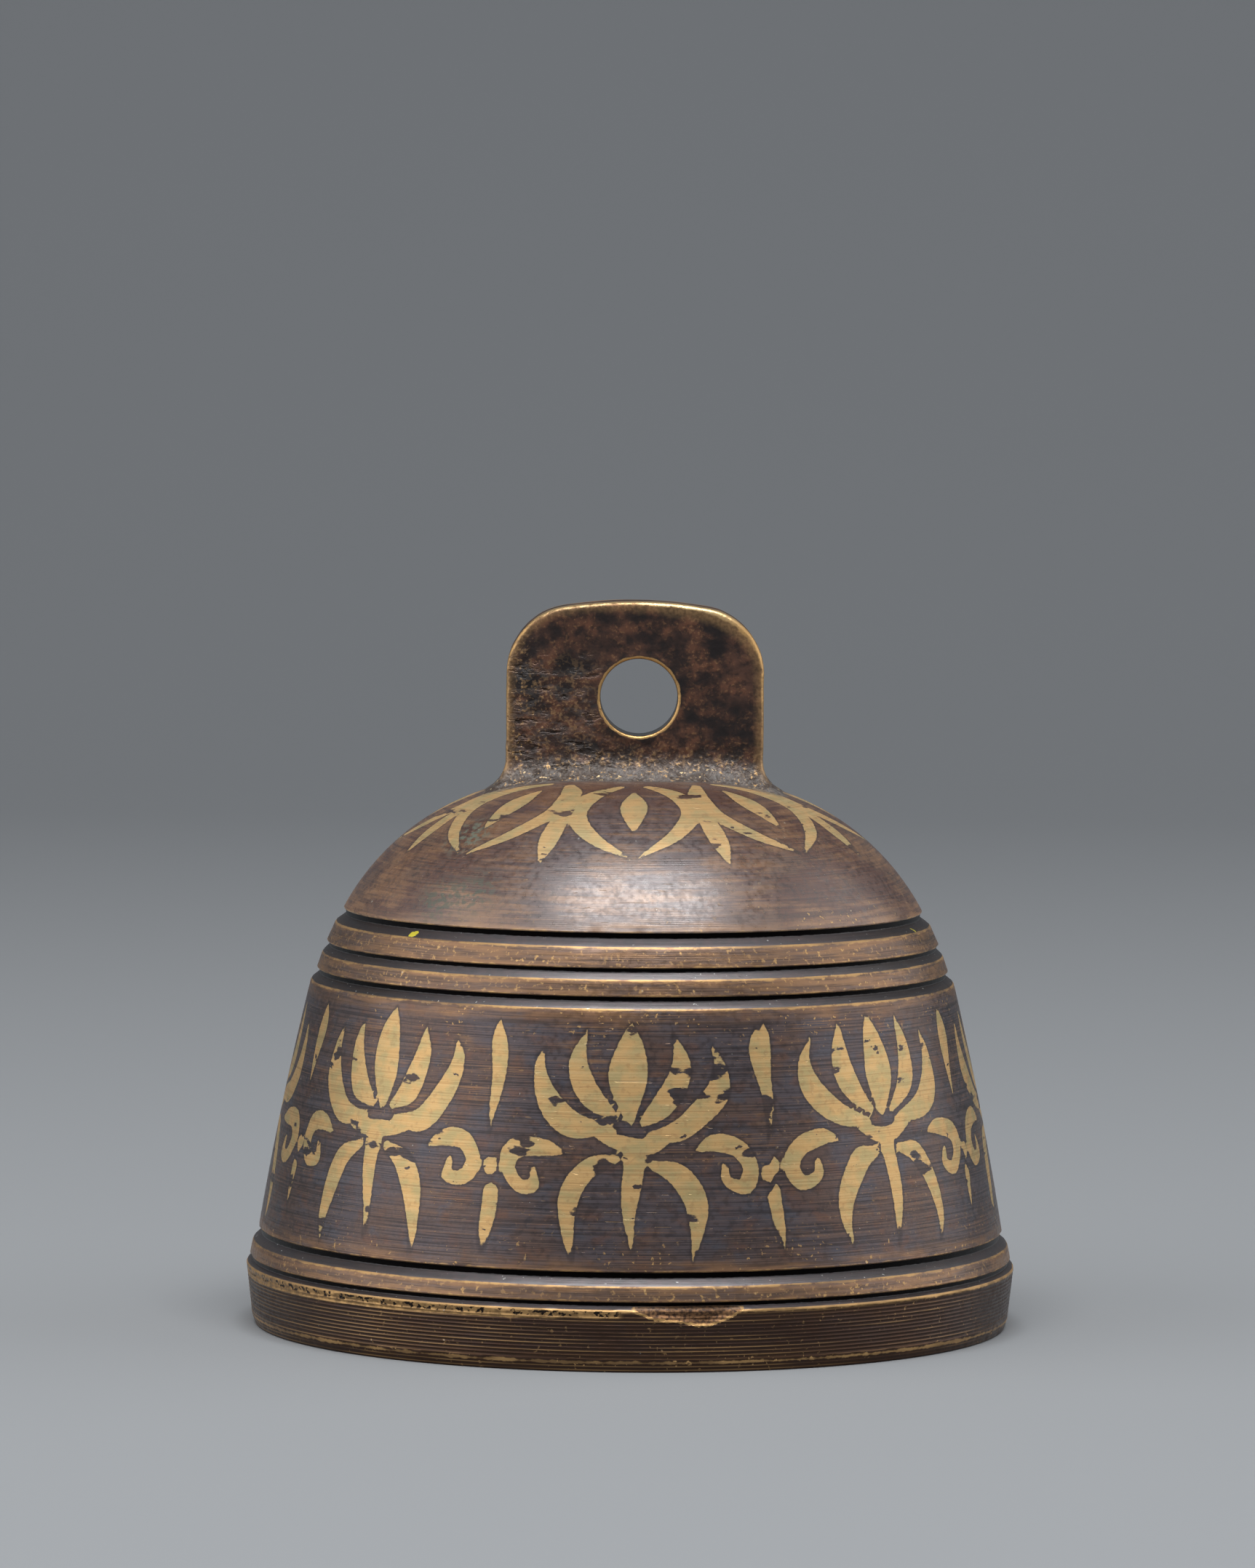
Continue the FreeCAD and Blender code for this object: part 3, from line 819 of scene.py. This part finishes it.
# Near white on the rounded rim in the top 3 mm of the lug is a painted highlight from the top lamp; the
# pale chips near the root are real.
base = (tree.math("MAXIMUM", edge * gap_under_top.rise(3.0, 0.6) * 0.7, chips)).blend(base, pale_brass_and_highlight)
drilled = hole_gap.rise(0.06, 0.0)
base = drilled.blend(base, cast_grey_and_glint)
metallic = tree.math("MAXIMUM", gold, 0.6 * fade).blend(0.55, 0.92) * (1 - 0.6 * band)
roughness = gold.blend(clouds.blend(0.32, 0.5), 0.36)
roughness = tree.math("MAXIMUM", roughness, tree.math("MAXIMUM", skin, band) * 0.5)
relief = 0.35 * clouds + (0.5 + 1.2 * skin) * grains + (0.25 + 0.8 * skin) * crumbs - 1.4 * gouged
finish_material(tree, base, metallic, roughness, relief, 0.12 * mm, {"IOR": 1.65})

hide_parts("bell_body")
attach(lug, "bell")


# The staple: a length of iron wire bent square, its two legs cast into the crown
# so that its bar hangs across the middle of the bell.
staple_wire = 2.2 * mm
staple_half = 3.5 * mm
staple_bend = 2.0 * mm
staple_bar = inner_crown_height - 5.0 * mm
staple_end = inner_crown_height + 3.3 * mm
staple_cuts = 3
bend_steps = 8
wire_sides = 20
iron_dark = colour(44, 40, 38)
iron_grey = colour(74, 68, 64)
iron_bright = colour(168, 162, 152)
rust_dark = colour(88, 52, 34)
rust_light = colour(128, 76, 44)


def wire_from_path(piece, diameter):
    """Gives a drawn path of edges the round section of a wire and makes it a mesh again."""
    bpy.ops.object.mode_set(mode="OBJECT")
    bpy.ops.object.convert(target="CURVE")
    piece.data.bevel_depth = diameter / 2
    piece.data.bevel_resolution = (wire_sides - 4) // 4
    piece.data.use_fill_caps = True
    bpy.ops.object.convert(target="MESH")
    bpy.ops.object.mode_set(mode="EDIT")
    close_up()


def iron_finish(name, piece, dark, rust, rust_start, rubbed):
    """Blackened iron with rust in its hollows. rubbed is 1 where a neighbour keeps it bright."""
    tree, place = start_material(name, piece)
    clouds = grain(place, even, 0.5, 5.0, 0.4)
    crumbs = grain(place, even, 2.6, 4.0)
    rusted = (clouds + 0.4 * (crumbs - 0.5)).rise(rust_start, rust_start + 0.16)
    base = crumbs.rise(0.35, 0.7).blend(dark, iron_grey)
    base = rusted.blend(base, crumbs.rise(0.3, 0.7).blend(rust, rust_light))
    bright = rubbed(tree, place) * (0.6 + 0.4 * crumbs.rise(0.3, 0.5))
    base = bright.blend(base, iron_bright)
    metallic = bright.blend((1 - rusted) * 0.75, 0.95)
    roughness = bright.blend(rusted.blend(0.46, 0.82), 0.26)
    relief = (0.6 * clouds + crumbs * (0.4 + 0.8 * rusted)) * (1 - 0.8 * bright)
    finish_material(tree, base, metallic, roughness, relief, 0.09 * mm, {})


def near_spot(spot, reach):
    """A mask that is 1 at a place and fades out at reach from it."""
    def mask(tree, place):
        gap = distance(place, tuple(v / mm for v in spot))
        return gap.rise(reach / mm, reach / mm * 0.5)
    return mask


staple = new_point("staple_wire", (0, -staple_half, staple_end))
draw_through([(0, -staple_half, staple_end), (0, -staple_half, staple_bar),
              (0, staple_half, staple_bar), (0, staple_half, staple_end)])
bpy.ops.object.mode_set(mode="OBJECT")
for vertex in staple.data.vertices:
    vertex.select = vertex.co.z < staple_bar + mm
bpy.ops.object.mode_set(mode="EDIT")
bpy.ops.mesh.select_mode(type="VERT")
bpy.ops.mesh.bevel(offset=staple_bend, segments=bend_steps, affect="VERTICES")
bpy.ops.mesh.select_all(action="SELECT")
bpy.ops.mesh.subdivide(number_cuts=staple_cuts)
wire_from_path(staple, staple_wire)
bpy.ops.object.shade_smooth_by_angle(angle=math.radians(50))
iron_finish("staple_iron", staple, iron_dark, rust_dark, 0.50,
            near_spot((0, 0, staple_bar), 1.9 * mm))
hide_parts("clapper_staple")
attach(staple, "bell")


# The link: a closed oval of the same iron wire, hung over the staple's bar and
# dented by the hammer that shut it.
link_wire = 2.0 * mm
link_bend = 2.2 * mm
link_reach = 3.0 * mm
link_steps = 48
link_side_cuts = 8

bpy.ops.object.select_all(action="DESELECT")
bpy.ops.mesh.primitive_circle_add(vertices=link_steps, radius=link_bend,
                                  location=(0, 0, staple_bar), rotation=(math.pi / 2, 0, 0))
link = bpy.context.object
link.name = link.data.name = "link_wire"
bpy.ops.object.transform_apply(location=True, rotation=True, scale=True)
for vertex in link.data.vertices:
    vertex.select = vertex.co.z < staple_bar - touching
bpy.ops.object.mode_set(mode="EDIT")
bpy.ops.mesh.select_mode(type="VERT")
bpy.ops.transform.translate(value=(0, 0, -link_reach))
select_edges(link, lambda a, b: (a - b).length > link_reach * 0.9)
bpy.ops.mesh.subdivide(number_cuts=link_side_cuts)
wire_from_path(link, link_wire)
add_lumps(link, "link_dents", 1.2 * mm, 0.08 * mm)
bpy.ops.object.shade_smooth_by_angle(angle=math.radians(50))
iron_finish("link_iron", link, iron_dark, rust_dark, 0.54,
            near_spot((0, 0, staple_bar + link_bend), 1.8 * mm))
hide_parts("clapper_link")
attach(link, "link")


# The striker's shank: forged from one rod, its top drawn out and curled round into
# an eye, with a collar above the ball and its lower end hammered over below it.
striker_axis = staple_bar - link_reach - link_bend
eye_radius = 2.1 * mm
eye_wire = 2.0 * mm
ball_radius = 8.0 * mm
ball_middle = 11.7 * mm
collar_radius = 2.6 * mm
collar_height = 1.2 * mm
head_height = 0.9 * mm
pin_radius = 1.5 * mm
rod_radii = (1.6 * mm, 1.25 * mm)
ball_flat = math.sqrt(ball_radius ** 2 - collar_radius ** 2)
shank_steps = 40
forging_voxel = 0.17 * mm
collar_top = ball_middle + ball_flat + collar_height
eye_low = striker_axis - eye_radius
shank_dark = colour(46, 41, 38)
shank_rust = colour(96, 58, 38)

bpy.ops.object.select_all(action="DESELECT")
bpy.ops.mesh.primitive_torus_add(location=(0, 0, striker_axis), rotation=(0, math.pi / 2, 0),
                                 major_radius=eye_radius, minor_radius=eye_wire / 2,
                                 major_segments=64, minor_segments=28)
shank = bpy.context.object
shank.name = shank.data.name = "shank_forging"
bpy.ops.object.transform_apply(location=True, rotation=True, scale=True)
shank_section = [
    (0.0, ball_middle - ball_flat - head_height),
    (collar_radius - head_height * 0.75, ball_middle - ball_flat - head_height),
    (collar_radius - head_height * 0.25, ball_middle - ball_flat - head_height * 0.75),
    (collar_radius, ball_middle - ball_flat - head_height * 0.2),
    (collar_radius, ball_middle - ball_flat),
    (pin_radius, ball_middle - ball_flat), (pin_radius, ball_middle + ball_flat),
    (collar_radius * 0.97, ball_middle + ball_flat), (collar_radius, collar_top - collar_height * 0.6),
    (collar_radius * 0.94, collar_top - collar_height * 0.15), (collar_radius * 0.85, collar_top),
    (rod_radii[0] * 1.15, collar_top), (rod_radii[0], collar_top + 0.4 * mm),
    (rod_radii[1], eye_low), (0.0, eye_low),
]
rod = new_point("shank_rod", (0, 0, shank_section[0][1]))
draw_through([(r, 0, z) for r, z in shank_section])
turn_about_z(shank_steps)
rod.select_set(True)
shank.select_set(True)
bpy.context.view_layer.objects.active = shank
bpy.ops.object.join()
forged = shank.modifiers.new("forged", "REMESH")
forged.mode, forged.voxel_size = "VOXEL", forging_voxel
bpy.ops.object.modifier_apply(modifier="forged")
settled = shank.modifiers.new("settled", "SMOOTH")
settled.factor, settled.iterations = 0.5, 4
bpy.ops.object.modifier_apply(modifier="settled")
add_lumps(shank, "hammer_marks", 1.6 * mm, 0.12 * mm)
bpy.ops.object.shade_smooth()
iron_finish("shank_iron", shank, shank_dark, shank_rust, 0.52,
            near_spot((0, 0, striker_axis + eye_radius), 1.7 * mm))
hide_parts("clapper_shank")
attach(shank, "striker")


# The striker's ball: cast brass, bored for the shank, tarnished all over but for
# the belt that meets the bell's wall, with the seam of its mould round it.
ball_steps = 144
ball_spacing = 0.34 * mm
bore_clear = 0.02 * mm
seam_half_width = 0.45 * mm
seam_rise = 0.05 * mm
belt_half_height = 2.6 * mm
ball_brown = colour(78, 56, 40)
ball_tan = colour(128, 94, 54)
belt_gold = colour(212, 172, 104)

half_turn = math.acos(ball_flat / ball_radius)
arc = np.linspace(half_turn, math.pi - half_turn,
                  math.ceil((math.pi - 2 * half_turn) * ball_radius / ball_spacing))
ball_section = [(pin_radius + bore_clear, ball_middle + ball_flat)]
ball_section += [(ball_radius * math.sin(a), ball_middle + ball_radius * math.cos(a)) for a in arc]
ball_section += [(pin_radius + bore_clear, ball_middle - ball_flat)]
ball_section.append(ball_section[0])
ball = new_point("striker_ball", (ball_section[0][0], 0, ball_section[0][1]))
draw_through([(r, 0, z) for r, z in ball_section])
turn_about_z(ball_steps)
add_lumps(ball, "ball_dents", 3.0 * mm, 0.16 * mm)
add_lumps(ball, "ball_skin", 0.8 * mm, 0.06 * mm)
places = places_of(ball)
radii = np.hypot(places[:, 0], places[:, 1])
seam = np.clip(1 - np.abs(places[:, 0]) / seam_half_width, 0, 1) * (radii > collar_radius)
centred = places - [0, 0, ball_middle]
places += centred / ball_radius * (seam_rise * seam)[:, None]
move_to(ball, places)
paint(ball, "seam", seam)
bpy.ops.object.shade_smooth_by_angle(angle=math.radians(40))

tree, place = start_material("ball_brass", ball)
height = part_of(place, "Z") - ball_middle / mm
seamed = stored(tree, "seam")
clouds = grain(place, even, 0.35, 5.0, 0.5)
crumbs = grain(place, even, 2.2, 4.0)
belt = (abs(height) + 3.0 * (clouds - 0.5)).rise(belt_half_height / mm, belt_half_height / mm * 0.55)
scuffs = grain(place, (1.0, 1.0, 0.35), 2.6, 3.0).rise(0.52, 0.62)
base = clouds.rise(0.35, 0.65).blend(ball_brown, ball_tan)
base = (crumbs.rise(0.60, 0.72) * 0.7).blend(base, patina_dark)
bright = tree.math("MAXIMUM", belt * (0.45 + 0.55 * scuffs), seamed.rise(0.3, 0.9) * 0.6)
base = bright.blend(base, belt_gold)
metallic = bright.blend(0.6, 0.92)
roughness = bright.blend(0.5, 0.3)
finish_material(tree, base, metallic, roughness, clouds + 0.6 * crumbs, 0.08 * mm, {})
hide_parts("clapper_ball")
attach(ball, "striker")


# The floor and the wall behind it are one sheet of grey paper that curves up, lit
# by two large soft boxes at the sides and one above and in front. The room round
# it is pale low down and darker towards its ceiling.
bpy.ops.object.select_all(action="DESELECT")
floor_half = 1.6
wall_height = 2.4
wall_bend = 0.9
wall_bend_steps = 24
paper_grey = colour(150, 153, 156)
room_pale = colour(200, 202, 206)
room_dark = colour(128, 130, 134)
bpy.ops.mesh.primitive_plane_add(size=2 * floor_half, location=(0, 0, -0.05 * mm))
floor = bpy.context.object
floor.name = "floor_sheet"
bpy.ops.object.mode_set(mode="EDIT")
select_edges(floor, lambda a, b: min(a.y, b.y) > 0)
bpy.ops.mesh.extrude_region_move(TRANSFORM_OT_translate={"value": (0, 0, wall_height)})
select_edges(floor, lambda a, b: min(a.y, b.y) > 0 and max(a.z, b.z) < wall_bend / 2)
bpy.ops.mesh.bevel(offset=wall_bend, segments=wall_bend_steps)
bpy.ops.object.mode_set(mode="OBJECT")
bpy.ops.object.shade_smooth()
tree, place = start_material("grey_paper", floor)
surface = tree.node("BsdfPrincipled", {}, {"Base Color": paper_grey, "Roughness": 0.85,
                                           "Specular IOR Level": 0.2})
tree.node("OutputMaterial", {}, {"Surface": surface})

aim = Vector((0, 0, 0.03))
lamps = {
    "left_box": ((-0.70, -0.24, 0.36), (0.95, 0.90), 2.9),
    "right_box": ((0.76, 0.06, 0.36), (0.95, 0.90), 2.3),
    "top_box": ((0.02, -0.30, 0.80), (0.68, 0.42), 6.2),
}
for name, (spot, (wide, deep), power) in lamps.items():
    lamp = bpy.data.lights.new(name, "AREA")
    lamp.shape, lamp.size, lamp.size_y, lamp.energy = "RECTANGLE", wide, deep, power
    holder = bpy.data.objects.new(name, lamp)
    bpy.context.scene.collection.objects.link(holder)
    holder.location = spot
    holder.rotation_euler = (Vector(spot) - aim).to_track_quat("Z", "Y").to_euler()

world = bpy.data.worlds.new("soft_room")
bpy.context.scene.world = world
world.use_nodes = True
world.node_tree.nodes.clear()
tree = Socket(world.node_tree)
outwards = tree.node("TexCoord", {}, {}, "Generated")
room = part_of(outwards, "Z").rise(0.15, 0.85).blend(room_pale, room_dark)
glow = tree.node("Background", {}, {"Color": room, "Strength": 0.85})
tree.node("OutputWorld", {}, {"Surface": glow})

# The camera stands in front at the height of a seated photographer's lens and
# looks a little down.
camera_data = bpy.data.cameras.new("camera")
camera_data.sensor_fit = "VERTICAL"
camera_data.sensor_height = 36
camera_data.lens = 186.4
camera_data.clip_start = 0.01
camera = bpy.data.objects.new("camera", camera_data)
bpy.context.scene.collection.objects.link(camera)
camera.location = (-0.00064, -0.790, 0.10526)
tilt, roll = math.radians(90 - 3.81), math.radians(0.477)
camera.rotation_euler = (Matrix.Rotation(tilt, 3, "X") @ Matrix.Rotation(roll, 3, "Z")).to_euler()
bpy.context.scene.camera = camera

bpy.context.scene.view_settings.view_transform = "Standard"
